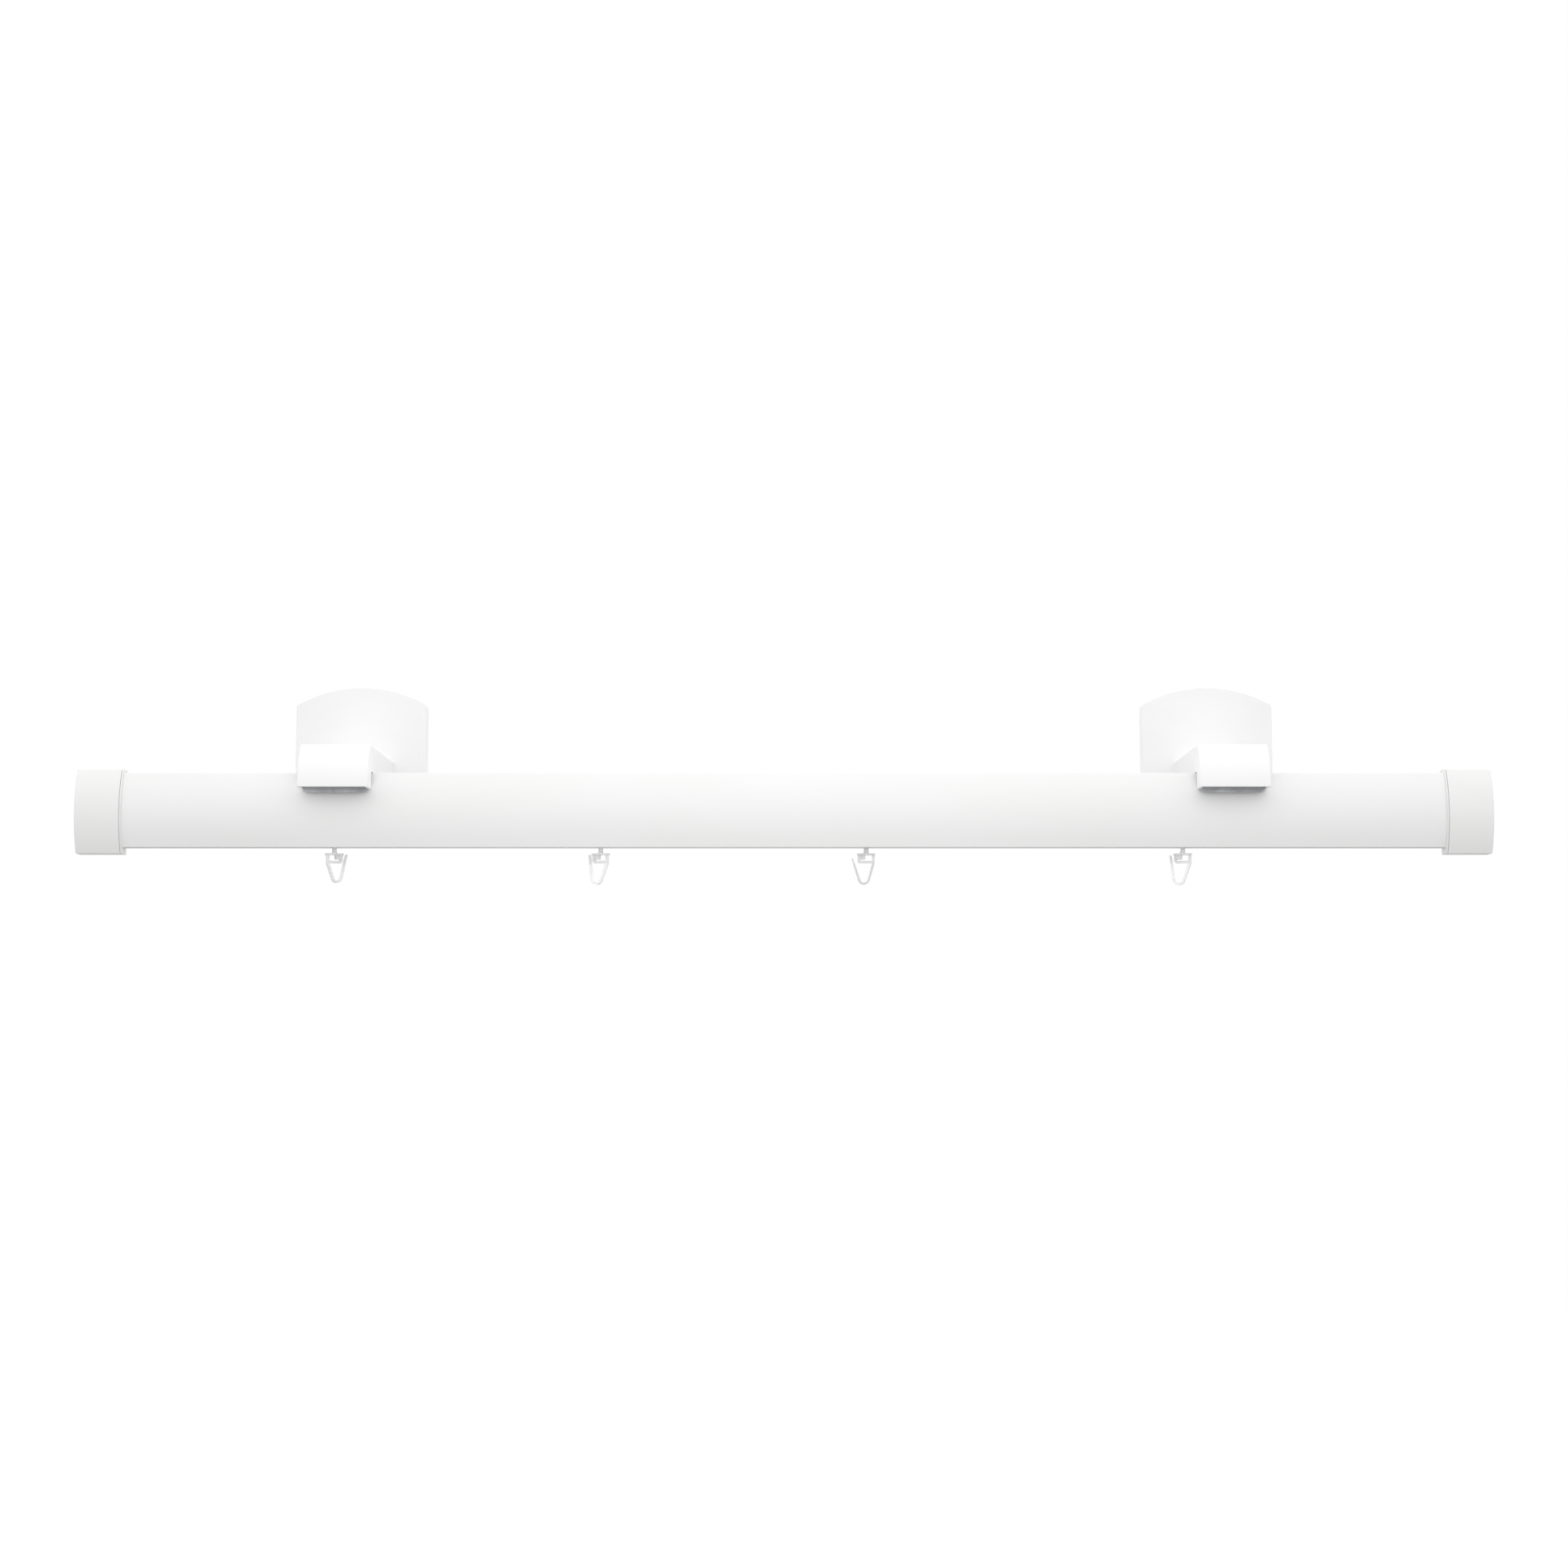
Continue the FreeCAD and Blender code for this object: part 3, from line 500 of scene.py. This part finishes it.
def make_moulded_plastic(name, colours, grain, depth, roughness):
    """Matt moulded plastic. The colours and the roughness are pairs that the patches blend."""
    material, tree, shader = new_finish(name)
    edges = place_group(tree, edge_group, radius=0.5 * MM)
    skin = place_group(tree, grain_group, per_metre=(grain, grain, grain))
    flow = place_group(tree, patch_group, per_metre=(25, 25, 60))
    dust = place_group(tree, dust_group, per_metre=(120, 120, 120))
    tone = blend_colours(tree, flow.outputs["Mask"], *colours)
    hidden = combine(tree, "MULTIPLY", dust.outputs["Mask"], PLASTIC_DUST_COVER)
    tree.links.new(blend_colours(tree, hidden, tone, DUST), shader.inputs["Base Color"])
    sheen = map_range(tree, flow.outputs["Mask"], new=roughness)
    gloss = combine(tree, "MULTIPLY", edges.outputs["Mask"], CORNER_GLOSS)
    tree.links.new(combine(tree, "SUBTRACT", sheen, gloss), shader.inputs["Roughness"])
    shader.inputs["IOR"].default_value = PLASTIC_IOR
    normal = raise_surface(tree, skin.outputs["Height"], depth, edges.outputs["Normal"])
    tree.links.new(normal, shader.inputs["Normal"])
    return material


cover_plastic = make_moulded_plastic(
    "cover_plastic", colours=((0.935, 0.935, 0.935), (0.925, 0.926, 0.924)),
    grain=2600, depth=0.006 * MM, roughness=(0.42, 0.52))
cap_plastic = make_moulded_plastic(
    "cap_plastic", colours=((0.866, 0.863, 0.858), (0.856, 0.854, 0.849)),
    grain=1800, depth=0.005 * MM, roughness=(0.34, 0.42))
print("finishes:", cover_plastic.name, cap_plastic.name)

# %% [markdown]
# ## Zinc plated steel
#
# The arms, wall plates, clamps and screws are steel with a bright zinc plating. The sheet keeps
# the direction it was rolled in as fine scratches, the plating clouds in patches, and cut edges
# are rubbed brighter. The metal is dark in itself, so most of its look is the dome it reflects.

# %% Plated steel
ZINC = (0.6, 0.61, 0.63)
ZINC_CLOUDED = (0.5, 0.505, 0.515)
ZINC_RUBBED = (0.74, 0.745, 0.75)
ZINC_ROUGHNESS = (0.3, 0.46)
SCRATCH_ROUGHNESS = 0.08
SCRATCH_DEPTH = 0.003 * MM


def make_plated_steel():
    """Rolled steel sheet under bright zinc."""
    material, tree, shader = new_finish("plated_steel")
    edges = place_group(tree, edge_group, radius=0.4 * MM)
    rolled = place_group(tree, grain_group, per_metre=(3500, 60, 3500))
    clouds = place_group(tree, patch_group, per_metre=(110, 110, 110))
    tone = blend_colours(tree, clouds.outputs["Mask"], ZINC, ZINC_CLOUDED)
    tone = blend_colours(tree, edges.outputs["Mask"], tone, ZINC_RUBBED)
    tree.links.new(tone, shader.inputs["Base Color"])
    shader.inputs["Metallic"].default_value = 1
    sheen = map_range(tree, clouds.outputs["Mask"], new=ZINC_ROUGHNESS)
    scratched = combine(tree, "MULTIPLY", rolled.outputs["Height"], SCRATCH_ROUGHNESS)
    tree.links.new(combine(tree, "ADD", sheen, scratched), shader.inputs["Roughness"])
    normal = raise_surface(tree, rolled.outputs["Height"], SCRATCH_DEPTH, edges.outputs["Normal"])
    tree.links.new(normal, shader.inputs["Normal"])
    return material


plated_steel = make_plated_steel()
print("finish:", plated_steel.name)

# %% [markdown]
# ## Slippery plastic
#
# The gliders are a plain white nylon-like plastic. Running in the track scuffs it in short
# patches along the rod, which are a little yellower and duller. It could be painted on, but the
# shared patches drawn out along the rod show it just as well.

# %% Glider plastic
GLIDER_WHITE = (0.86, 0.86, 0.85)
GLIDER_WORN = (0.83, 0.825, 0.81)
GLIDER_ROUGHNESS = (0.28, 0.48)
SKIN_DEPTH = 0.004 * MM


def make_glider_plastic():
    """Nylon-like white with patches of wear."""
    material, tree, shader = new_finish("glider_plastic")
    edges = place_group(tree, edge_group, radius=0.25 * MM)
    wear = place_group(tree, patch_group, per_metre=(150, 700, 700))
    skin = place_group(tree, grain_group, per_metre=(3000, 3000, 3000))
    tone = blend_colours(tree, wear.outputs["Mask"], GLIDER_WHITE, GLIDER_WORN)
    tree.links.new(tone, shader.inputs["Base Color"])
    sheen = map_range(tree, wear.outputs["Mask"], new=GLIDER_ROUGHNESS)
    tree.links.new(sheen, shader.inputs["Roughness"])
    normal = raise_surface(tree, skin.outputs["Height"], SKIN_DEPTH, edges.outputs["Normal"])
    tree.links.new(normal, shader.inputs["Normal"])
    return material


glider_plastic = make_glider_plastic()
print("finish:", glider_plastic.name)

# %% [markdown]
# ## Milky plastic
#
# The hooks are unfilled and let light in, so they look milky. Subsurface light does that in the
# shader, with a shallow reach because a hook is only about two millimetres thick. On top of that
# the hooks carry painted shade: each hook's mesh holds a number called "thickness", from 0 in a
# clear strip to 1 in the solid block. It greys the colour where the hook sits in shade or turns
# its narrow faces to the camera, and an Attribute node reads it here.

# %% Hook plastic
HOOK_UNSHADED = (0.97, 0.97, 0.97)
# The greyest colour is painted shade, which a hook takes where its thickness number is 1.
HOOK_PAINTED_SHADE = (0.66, 0.662, 0.672)
HOOK_CLOUDED = (0.9, 0.9, 0.905)
MILKINESS = 0.4  # how far the patches go from the unshaded colour to the clouded one
HOOK_ROUGHNESS = (0.24, 0.36)
LIGHT_INSIDE = 0.6  # the share of the light that goes through the skin
LIGHT_REACH = 2.5 * MM


def make_hook_plastic():
    """Milky plastic with painted shade, greyer where the mesh's thickness number is high."""
    material, tree, shader = new_finish("hook_plastic")
    # The mesh's thickness number is painted shade, set per hook, not the plastic's real thickness.
    thickness = add_node(tree, "ShaderNodeAttribute", attribute_name="thickness")
    milk = place_group(tree, patch_group, per_metre=(260, 260, 160))
    skin = place_group(tree, grain_group, per_metre=(2200, 2200, 2200))
    clouded = combine(tree, "MULTIPLY", milk.outputs["Mask"], MILKINESS)
    clear = blend_colours(tree, clouded, HOOK_UNSHADED, HOOK_CLOUDED)
    tone = blend_colours(tree, thickness.outputs["Fac"], clear, HOOK_PAINTED_SHADE)
    tree.links.new(tone, shader.inputs["Base Color"])
    sheen = map_range(tree, milk.outputs["Mask"], new=HOOK_ROUGHNESS)
    tree.links.new(sheen, shader.inputs["Roughness"])
    shader.inputs["Subsurface Weight"].default_value = LIGHT_INSIDE
    shader.inputs["Subsurface Radius"].default_value = (1, 1, 1)
    shader.inputs["Subsurface Scale"].default_value = LIGHT_REACH
    shader.inputs["IOR"].default_value = PLASTIC_IOR
    normal = raise_surface(tree, skin.outputs["Height"], SKIN_DEPTH)
    tree.links.new(normal, shader.inputs["Normal"])
    return material


hook_plastic = make_hook_plastic()
print("finish:", hook_plastic.name)

# %% [markdown]
# ## Dress the designed pieces
#
# The record says which finish each piece has. A piece whose shape is right keeps its own mesh and
# only gets the material.

# %% Give every piece its finish
FINISHES = {
    "rail_paint": rail_paint,
    "cap_plastic": cap_plastic,
    "cover_plastic": cover_plastic,
    "plated_steel": plated_steel,
    "glider_plastic": glider_plastic,
    "hook_plastic": hook_plastic,
}

finish_of = {part["node"]: part["material_slot"] for part in frame["record"]["subparts"]}
for name, piece in NODES.items():
    piece.data.materials.clear()
    piece.data.materials.append(FINISHES[finish_of[name]])
print("dressed:", len(NODES))

# %% [markdown]
# ## Curtain hooks
#
# A curtain hook is one small moulding: a stem that turns in the glider, a flat top plate, a square
# frame with a block in its corner, and a springy strip that runs round a V to a free tip. The
# strip has a rib along both edges, which the mould leaves so that it can be thin and still stiff.
# Each feature is drawn on its own as a simple closed shell, in millimetres, in the hook's own
# plane. A voxel remesh then melts the shells into one skin, and a light smoothing gives the soft
# corners that every moulding has. That is simpler and safer than cutting shells out of each other.

# %% Hook sizes in millimetres
STEM_DROP = 4.0  # from the rail down to the top plate
STEM_RADIUS, FLARE_RADIUS, HEAD_RADIUS = 1.62, 2.5, 2.8
HEAD_HEIGHT = 1.2
PLATE_WIDTH, PLATE_DEPTH, PLATE_HEIGHT = 12.6, 4.8, 1.2
FRAME_LEFT, FRAME_RIGHT, FRAME_HEIGHT = -6.1, 6.0, 6.9
BAR, LEG, LOOP, TIP = 1.6, 1.75, 1.6, 1.0  # how thick the frame, leg, round bottom and tip are
BLOCK_WIDTH, BLOCK_HEIGHT = 4.0, 4.2
STRIP_DEPTH = 3.1

# The four hooks differ, as springy mouldings do. Each has its own turn about the stem in degrees,
# centre and radius of its round bottom, and free tip. The block and the strip give how much
# painted shade greys them, from 0 to 1. Hooks seen edge-on get more, because their narrow faces
# catch less light.
HOOKS = {
    1: dict(turn=215, centre=(-2.1, -16.6), radius=3.4, tip=(-9.3, -0.5), block=0.7, strip=0.4),
    2: dict(turn=-25, centre=(-3.1, -17.5), radius=3.9, tip=(-8.8, -0.9), block=0.68, strip=0),
    3: dict(turn=4, centre=(-1.7, -17.9), radius=3.5, tip=(-9.9, -3.7), block=0.95, strip=0.95),
    4: dict(turn=-25, centre=(-3, -17.7), radius=3.9, tip=(-8.9, -1.3), block=0.72, strip=0),
}
print("hooks:", len(HOOKS))

# %% [markdown]
# ### Shells for the features
#
# Three kinds of shell are enough for a hook: a strip swept along a path, a round stem turned
# about its axis, and a square block. The strip and the stem are both rings of corners joined by
# faces, so they share one helper, and the section of the strip carries its ribs with it.

# %% Ribbed strip
EDGE = 0.2  # mm taken off the strip's outer corners
RIB_VALLEY = 0.36  # half the width of the valley between the ribs, as a share of the thickness
VALLEY_DEPTH = 0.45


def rib_section(thickness, depth):
    """The strip's cross-section: thickness by depth, with a valley along its front and back."""
    a, b = thickness / 2, depth / 2
    valley = thickness * RIB_VALLEY
    quarter = [(a, b - EDGE), (a - EDGE, b), (valley, b), (valley / 2, b - VALLEY_DEPTH)]
    half = quarter + [(-x, y) for x, y in reversed(quarter)]
    return half + [(-x, -y) for x, y in half]


def join_rings(shell, rings):
    """Faces between neighbouring rings of corners, and one at each end."""
    for ring, following in zip(rings, rings[1:]):
        for k in range(len(ring)):
            near = (k + 1) % len(ring)
            shell.faces.new((ring[k], ring[near], following[near], following[k]))
    shell.faces.new(rings[0])
    shell.faces.new(list(reversed(rings[-1])))


def sweep_strip(shell, path, thicknesses, depth):
    """A ribbed strip along a path of (across, up) points in the hook's plane."""
    points = [Vector(point) for point in path]
    rings = []
    for i, point in enumerate(points):
        before, after = points[max(i - 1, 0)], points[min(i + 1, len(points) - 1)]
        along = (after - before).normalized()
        outward = Vector((-along.y, along.x))
        ring = []
        for side, deep in rib_section(thicknesses[i], depth):
            place = point + outward * side
            ring.append(shell.verts.new((place.x, deep, place.y)))
        rings.append(ring)
    join_rings(shell, rings)


print("corners round the strip:", len(rib_section(LOOP, STRIP_DEPTH)))

# %% Turned stem and square block
STEM_SIDES = 40
FLARE_SHOULDER, FLARE_TOP = 0.35, 1.1  # mm above the top plate
HEAD_CORNER = 0.4
NARROWED = 0.8  # the radius at a rounded shoulder, as a share of the full one


def turn_stem(shell, profile):
    """A round shell about the vertical axis through (radius, up) points."""
    rings = []
    for radius, up in profile:
        steps = (math.tau * k / STEM_SIDES for k in range(STEM_SIDES))
        rings.append([shell.verts.new((radius * math.cos(t), radius * math.sin(t), up))
                      for t in steps])
    join_rings(shell, rings)


def stem_profile(crown):
    """The stem from inside the top plate to the crown of its head, which the glider holds."""
    seat = crown - HEAD_HEIGHT
    return [
        (FLARE_RADIUS, -PLATE_HEIGHT / 2),
        (FLARE_RADIUS, 0),
        (FLARE_RADIUS * NARROWED, FLARE_SHOULDER),
        (STEM_RADIUS, FLARE_TOP),
        (STEM_RADIUS, seat),
        (HEAD_RADIUS, seat),
        (HEAD_RADIUS, crown - HEAD_CORNER),
        (HEAD_RADIUS * NARROWED, crown),
    ]


def add_block(shell, low, high):
    """A square block between two corners."""
    low, high = Vector(low), Vector(high)
    place = Matrix.Translation((low + high) / 2) @ Matrix.Diagonal((*(high - low), 1))
    bmesh.ops.create_cube(shell, size=1, matrix=place)


print("stem:", 2 * STEM_RADIUS, "mm thick, with a head of", 2 * HEAD_RADIUS, "mm")

# %% [markdown]
# ### Paths of the strip and the frame
#
# The springy strip runs straight down, meets a round bottom without a kink and runs straight up to
# its tip. A hand-drawn curve could follow it, but then each hook would need its own. Working out
# where the straight lines touch the circle lets the same few lines draw all four. The frame is a
# shorter path: down the left side, round a small corner and along the lower bar.

# %% Path of the springy strip
LOOP_STEPS = 22
KNEE_RISE = 0.8  # mm above the frame's foot, where the leg begins to bend
LEG_ENDS, LOOP_BEGINS = 0.12, 0.9  # shares of the straight run from the knee to the round bottom
TIP_BEGINS = 0.1  # share of the straight run up to the tip


def touch_point(start, centre, radius, side):
    """Where the straight line from start meets the round bottom without a kink."""
    away = Vector(start) - Vector(centre)
    angle = math.atan2(away.y, away.x) + side * math.acos(radius / away.length)
    return angle, Vector(centre) + Vector((math.cos(angle), math.sin(angle))) * radius


def strip_path(centre, radius, tip):
    """Down the right leg, round the bottom, up to the free tip, and how thick each point is."""
    leg = FRAME_RIGHT - LEG / 2
    knee = (leg, -FRAME_HEIGHT)
    start_angle, start = touch_point(knee, centre, radius, -1)
    end_angle, end = touch_point(tip, centre, radius, 1)
    sweep = (end_angle - start_angle) % math.tau - math.tau
    path = [(leg, -PLATE_HEIGHT / 2), (leg, -FRAME_HEIGHT + KNEE_RISE), knee]
    path += [Vector(knee).lerp(start, share) for share in (LEG_ENDS, LOOP_BEGINS)]
    for k in range(LOOP_STEPS + 1):
        angle = start_angle + sweep * k / LOOP_STEPS
        path.append((centre[0] + radius * math.cos(angle), centre[1] + radius * math.sin(angle)))
    path += [end.lerp(Vector(tip), TIP_BEGINS), tip]
    leg_points = 4
    thicknesses = [LEG] * leg_points + [LOOP] * (len(path) - leg_points - 1) + [TIP]
    return path, thicknesses


for index, hook_size in HOOKS.items():
    run, _ = strip_path(hook_size["centre"], hook_size["radius"], hook_size["tip"])
    print("hook", index, "strip:", round(sum(map(math.dist, run, run[1:])), 1), "mm long")

# %% Path of the frame
FRAME_CORNER = 0.9
CORNER_STEPS = 4


def frame_path():
    """Down the frame's left side and along its lower bar, round a small corner."""
    left, low = FRAME_LEFT + BAR / 2, -FRAME_HEIGHT + BAR / 2
    path = [(left, -PLATE_HEIGHT / 2), (left, low + FRAME_CORNER)]
    for k in range(1, CORNER_STEPS + 1):
        angle = math.pi + math.pi / 2 * k / CORNER_STEPS
        path.append((left + FRAME_CORNER + FRAME_CORNER * math.cos(angle),
                     low + FRAME_CORNER + FRAME_CORNER * math.sin(angle)))
    return path + [(FRAME_RIGHT - LEG / 2, low)]


print("points along the frame:", len(frame_path()))

# %% [markdown]
# ### One skin from many shells
#
# The shells overlap freely, which no mould would allow. The Remesh modifier reads them as one
# solid and wraps it in even small faces. Smoothing rounds the corners, and since the small faces
# are many more than a flat bar needs, a Decimate modifier then keeps under a third of them.

# %% Put a hook's shells together
BLOCK_OVERLAP = 0.2  # mm that the block reaches into the frame's side


def shape_hook(size, crown):
    """All the shells of one hook, overlapping, in millimetres from the middle of its top plate."""
    shell = bmesh.new()
    add_block(shell, (-PLATE_WIDTH / 2, -PLATE_DEPTH / 2, -PLATE_HEIGHT),
              (PLATE_WIDTH / 2, PLATE_DEPTH / 2, 0))
    block_left = FRAME_LEFT + BAR - BLOCK_OVERLAP
    add_block(shell, (block_left, -STRIP_DEPTH / 2, -BLOCK_HEIGHT),
              (block_left + BLOCK_WIDTH, STRIP_DEPTH / 2, -PLATE_HEIGHT / 2))
    sweep_strip(shell, *strip_path(size["centre"], size["radius"], size["tip"]), STRIP_DEPTH)
    bars = frame_path()
    sweep_strip(shell, bars, [BAR] * len(bars), STRIP_DEPTH)
    turn_stem(shell, stem_profile(crown))
    return shell


print("top plate:", PLATE_WIDTH, "x", PLATE_DEPTH, "mm")

# %% Melt shells into one skin
VOXEL = 0.16  # mm
SMOOTHING, SMOOTH_ROUNDS = 0.5, 4
KEPT_FACES = 0.3


def melt(name, shell):
    """Turns overlapping shells into one smooth skin and returns its mesh, in metres."""
    bmesh.ops.recalc_face_normals(shell, faces=shell.faces)
    mesh = bpy.data.meshes.new(name)
    shell.to_mesh(mesh)
    shell.free()
    blank = bpy.data.objects.new(name, mesh)
    scene.collection.objects.link(blank)
    remesh = blank.modifiers.new("skin", "REMESH")
    remesh.mode, remesh.voxel_size = "VOXEL", VOXEL
    smooth = blank.modifiers.new("soft_corners", "SMOOTH")
    smooth.factor, smooth.iterations = SMOOTHING, SMOOTH_ROUNDS
    blank.modifiers.new("fewer_faces", "DECIMATE").ratio = KEPT_FACES
    evaluated = blank.evaluated_get(bpy.context.evaluated_depsgraph_get())
    finished = bpy.data.meshes.new_from_object(evaluated)
    bpy.data.objects.remove(blank)
    finished.transform(Matrix.Scale(MM, 4))
    finished.shade_smooth()
    return finished


print("voxels across the thinnest tip:", round(TIP / VOXEL))

# %% [markdown]
# ### Painted shade on the hooks
#
# The milky finish reads a number from every point of the mesh, and that number is painted shade.
# The block and the top plate get the most, the frame a share of it, and the strip below fades into
# its own grey. The number is worked out from a point's place in the hook's own plane, so it is
# stored before the hook is turned.

# %% Mark the painted shade
FRAME_SHARE = 0.75  # how much painted shade the frame gets, as a share of the block
STRIP_FADE = 1.5  # mm below the frame over which its grey runs into the strip's
LEFT_MARGIN, RIGHT_MARGIN, LOWER_MARGIN = 0.5, 0.2, 0.3  # mm round the block that get the block's painted shade


def painted_shade_at(point, block, strip):
    """How much painted shade greys the plastic at a point of the hook, from 0 to 1."""
    x, _, z = point
    block_left = FRAME_LEFT + BAR
    beside_block = block_left - LEFT_MARGIN < x < block_left + BLOCK_WIDTH + RIGHT_MARGIN
    if z > -PLATE_HEIGHT or (beside_block and z > -BLOCK_HEIGHT - LOWER_MARGIN):
        return block
    below = (-FRAME_HEIGHT - z) / STRIP_FADE
    bar = block * FRAME_SHARE
    return bar + (strip - bar) * min(max(below, 0), 1)


def mark_painted_shade(mesh, block, strip):
    """Stores the painted shade, named thickness, on every point of a hook's mesh, while it is in
    its own plane.
    """
    layer = mesh.attributes.new("thickness", "FLOAT", "POINT")
    layer.data.foreach_set(
        "value", [painted_shade_at(point.co / MM, block, strip) for point in mesh.vertices])


foot = (0, 0, -FRAME_HEIGHT)
greys = [painted_shade_at(foot, size["block"], size["strip"]) for size in HOOKS.values()]
print("grey at the frame's foot:", [round(grey, 2) for grey in greys])

# %% [markdown]
# ### Hang the hooks
#
# Each finished moulding goes under its glider, turned its own way as loose hooks are, and takes
# the place of the plain hook from the frame. Moving that hook's corners would not give the ribs
# and the soft skin, so it is made anew. It rides on the same body, and swivels and slides with it.

# %% Mould and hang the hooks
def mould_hook(index):
    """Makes one hook under its glider, in place of the designed one."""
    size, node = HOOKS[index], f"hook_{index}"
    crown = (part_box(node)[1][2] - rail_low.z) / MM + STEM_DROP
    hook = bpy.data.objects.new(f"{node}_moulding", melt(node, shape_hook(size, crown)))
    mark_painted_shade(hook.data, size["block"], size["strip"])
    stem = middle(f"glider_{index}")
    place = Matrix.Translation((stem.x, stem.y, rail_low.z - STEM_DROP * MM))
    hook.data.transform(place @ Matrix.Rotation(math.radians(size["turn"]), 4, "Z"))
    hook.data.materials.clear()
    hook.data.materials.append(hook_plastic)
    scene.collection.objects.link(hook)
    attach(hook, node)
    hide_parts(node)
    print(node, "faces:", len(hook.data.polygons))


for index in HOOKS:
    mould_hook(index)
